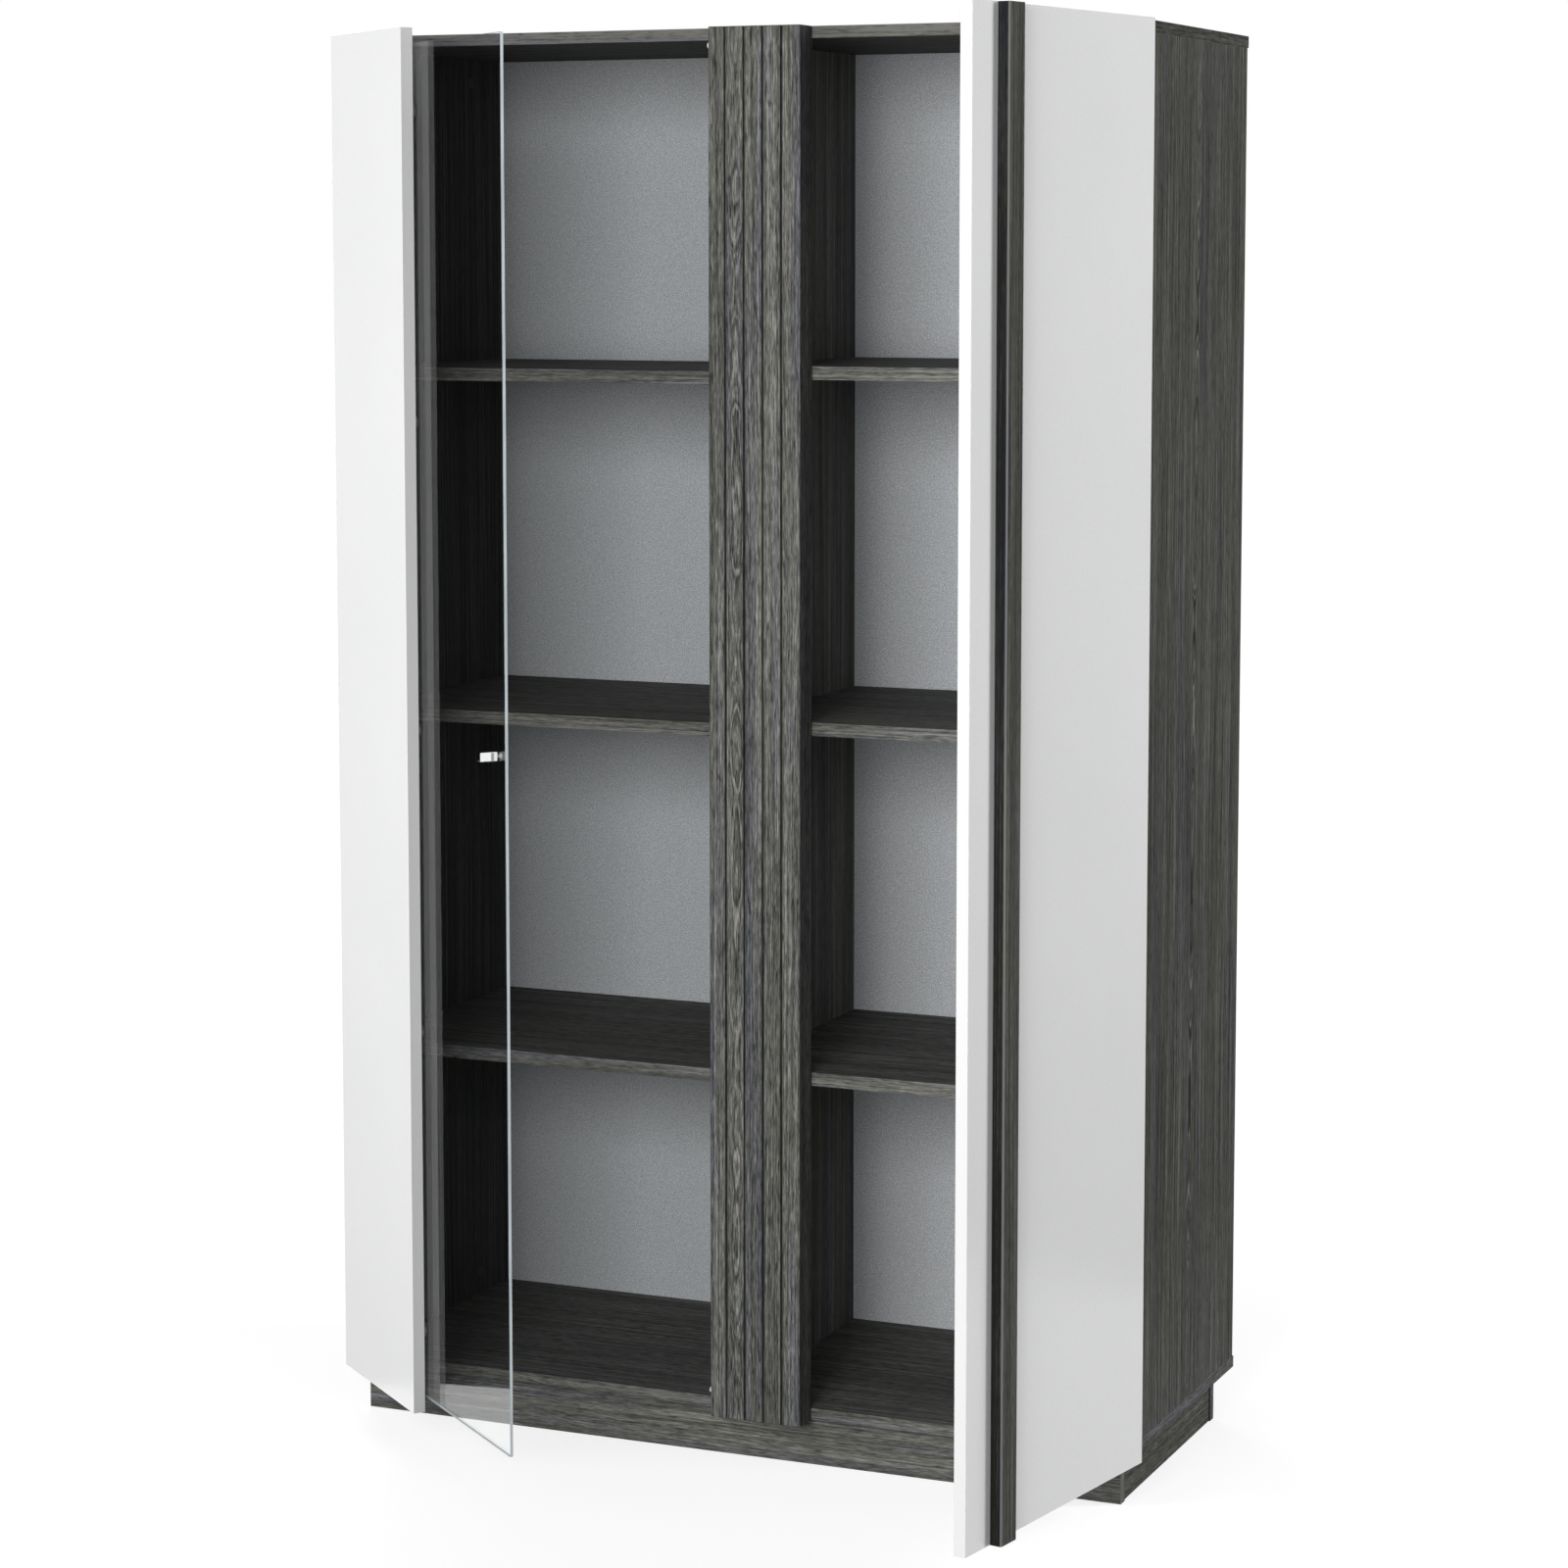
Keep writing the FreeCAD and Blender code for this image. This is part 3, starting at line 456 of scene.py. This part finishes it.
def dress_everything():
    dress_boards()
    # One lacquer for both backs; each light factor paints the light that its bay gets.
    dress(lacquered_fibreboard("grey_back_lacquer_left_painted_light", 1.05), "back_left")
    dress(lacquered_fibreboard("grey_back_lacquer_right_painted_light", 1.33), "back_right")
    # The left door's edge factor paints shade on its long edges.
    dress(white_gloss("white_gloss_left", LEFT_OPEN, 0.66), "left_door_panel")
    dress(white_gloss("white_gloss_right", -RIGHT_OPEN), "right_door_panel")
    dress(clear_glass(), "left_door_glass")
    dress(metal("polished_chrome", (0.78, 0.78, 0.79), (0.86, 0.86, 0.87), 0.04, 0.12), "glass_knob")
    dress(metal("dark_nickel", (0.07, 0.07, 0.072), (0.12, 0.12, 0.124), 0.22, 0.34), "glass_caps")
    plated = metal("plated_steel", (0.42, 0.42, 0.41), (0.58, 0.58, 0.57), 0.28, 0.4)
    steel_names = [name for name in nodes if "hinge" in name or "screw" in name or name == "cam_bolts"]
    dress(plated, *steel_names)
    dress(moulded("cam_cover", (0.018, 0.018, 0.017), (0.034, 0.034, 0.031), 0.6, 0.72), "cam_locks")
    dress(
        moulded("pale_plastic", (0.72, 0.73, 0.70), (0.80, 0.81, 0.78), 0.35, 0.5),
        "glass_stops", "back_joint_strip",
    )
    dress(
        moulded("grey_washer", (0.045, 0.046, 0.048), (0.075, 0.076, 0.078), 0.5, 0.62),
        "glass_spacers",
    )
    dress(
        moulded("soft_buffer", (0.55, 0.56, 0.57), (0.68, 0.69, 0.70), 0.3, 0.45, transmission=0.4),
        "left_door_bumpers", "right_door_bumpers", "knob_gasket",
    )
    dress(raw_wood(), "carcass_dowels", "post_dowels", "plinth_blocks")
    dress(
        metal("pin_nickel", (0.5, 0.49, 0.46), (0.66, 0.65, 0.61), 0.2, 0.35),
        "shelf_pins_left", "shelf_pins_right",
    )


# ---------------------------------------------------------------- studio
FLOOR_REACH = 60.0
FLOOR_TONE = 0.40
FLOOR_MOTTLE = 0.01  # how far the tone varies to each side
FLOOR_BOUNCE = 0.20
WORLD_LIGHT = 0.12

# The floor's own glow, from the middle of the object outwards, in metres. It is weaker near the
# object, where the shadow has to show.
GLOW_PLACES = (1.0, 7.0)
GLOW_STRENGTHS = (0.72, 1.0)

# Name, place, width and height in metres, and watts. All of them aim at the same point.
SOFTBOXES = (
    ("key", (0.3, -5.5, 2.2), (2.2, 2.2), 152.0),
    ("fill", (1.5, -5.3, 1.9), (1.4, 2.2), 74.0),
    ("left", (-4.5, -2.5, 1.6), (2.0, 2.4), 160.0),
    ("right", (4.8, 2.0, 2.4), (1.3, 2.6), 200.0),
    ("rear", (-3.2, 4.4, 2.4), (2.6, 2.6), 120.0),
)
SOFTBOX_TARGET = (0.0, -0.2, 1.0)

# Name, the two ends on the floor, height, and reach of the foot, in metres.
FLAGS = (
    ("left_flag", ((-2.4, -1.2), (-2.4, 1.6)), 2.6, 1.7),
    ("right_flag", ((0.7, 1.6), (3.4, 1.2)), 2.6, 1.3),
)


def background_factor(tree):
    """1 for the rays that show the background: camera, glossy and transmission rays."""
    path = tree.add("LightPath").outputs
    shown = tree.math("MAXIMUM", path["Is Camera Ray"], path["Is Glossy Ray"])
    return tree.math("MAXIMUM", shown, path["Is Transmission Ray"])


def make_world():
    """White for the rays that show the background, and dim for those that light the object."""
    world = bpy.data.worlds.new("studio")
    bpy.context.scene.world = world
    world.use_nodes = True
    tree = Tree(world.node_tree)
    background = world.node_tree.nodes["Background"]
    strength = tree.math("MAXIMUM", background_factor(tree), WORLD_LIGHT)
    tree.feed(background.inputs["Strength"], strength)
    background.inputs["Color"].default_value = (1, 1, 1, 1)


def add_stage_piece(name, corners, faces, material):
    mesh = bpy.data.meshes.new(name)
    mesh.from_pydata(corners, [], faces)
    mesh.materials.append(material)
    piece = bpy.data.objects.new(name, mesh)
    bpy.context.scene.collection.objects.link(piece)
    return piece


def make_floor():
    """A pale floor that shows as white, and still takes the object's soft shadow."""
    material, tree, shader = new_material("pale_floor")
    place = tree.object_place()
    mottle = tree.noise(place, scale=3.0, detail=3.0)
    tone = tree.two_tone(mottle, (FLOOR_TONE - FLOOR_MOTTLE,) * 3, (FLOOR_TONE + FLOOR_MOTTLE,) * 3)
    colour = tree.mix(background_factor(tree), (FLOOR_BOUNCE,) * 3, tone)
    tree.feed(shader.inputs["Base Color"], colour)
    shader.inputs["Roughness"].default_value = 0.9
    shader.inputs["Specular IOR Level"].default_value = 0.0
    distance = tree.add("VectorMath", {0: place}, operation="LENGTH").outputs["Value"]
    glow = tree.spread(distance, *GLOW_PLACES, *GLOW_STRENGTHS)
    tree.feed(shader.inputs["Emission Strength"], tree.math("MULTIPLY", background_factor(tree), glow))
    shader.inputs["Emission Color"].default_value = (1, 1, 1, 1)
    r = FLOOR_REACH
    add_stage_piece("floor", [(-r, -r, 0), (r, -r, 0), (r, r, 0), (-r, r, 0)], [(0, 1, 2, 3)], material)


def add_flag(name, ends, height, foot):
    """A dark card beside the object that only reflections show, as studios put round glass.

    ends are the two points on the floor between which the card stands, and foot is how far its lower
    part reaches over the floor towards the object.
    """
    (x0, y0), (x1, y1) = ends
    reach = Vector((-(x0 + x1) / 2, -(y0 + y1) / 2, 0)).normalized() * foot
    lift = 2 * MILLIMETRE
    corners = [(x0, y0, lift), (x1, y1, lift), (x1, y1, height), (x0, y0, height)]
    corners += [(x0 + reach.x, y0 + reach.y, lift), (x1 + reach.x, y1 + reach.y, lift)]
    material, _, shader = new_material("dark_card")
    shader.inputs["Base Color"].default_value = (0.01, 0.01, 0.01, 1.0)
    shader.inputs["Roughness"].default_value = 1.0
    shader.inputs["Specular IOR Level"].default_value = 0.0
    card = add_stage_piece(name, corners, [(0, 1, 2, 3), (0, 4, 5, 1)], material)
    card.visible_camera = card.visible_diffuse = card.visible_shadow = False
    card.visible_transmission = card.visible_volume_scatter = False


def add_softbox(name, place, size, watts):
    light = bpy.data.lights.new(name, "AREA")
    light.shape = "RECTANGLE"
    light.size, light.size_y = size
    light.energy = watts
    lamp = bpy.data.objects.new(name, light)
    lamp.location = place
    lamp.rotation_euler = (Vector(SOFTBOX_TARGET) - Vector(place)).to_track_quat("-Z", "Y").to_euler()
    lamp.visible_glossy = False  # gloss and glass show the white room, not the lamps
    bpy.context.scene.collection.objects.link(lamp)


def make_lights():
    for softbox in SOFTBOXES:
        add_softbox(*softbox)
    for flag in FLAGS:
        add_flag(*flag)


def make_camera():
    data = bpy.data.cameras.new("camera")
    data.sensor_width = SENSOR_WIDTH
    data.lens = FOCAL_PIXELS * SENSOR_WIDTH / IMAGE_SIZE
    data.shift_y = CAMERA_SHIFT_Y
    data.clip_end = VIEW_END
    camera = bpy.data.objects.new("camera", data)
    camera.location = CAMERA_PLACE
    camera.rotation_euler = Euler((math.radians(90 + CAMERA_PITCH), 0, math.radians(CAMERA_YAW)), "XYZ")
    bpy.context.scene.collection.objects.link(camera)
    bpy.context.scene.camera = camera


dress_everything()
make_world()
make_floor()
make_lights()
make_camera()
bpy.context.scene.view_settings.view_transform = "Standard"
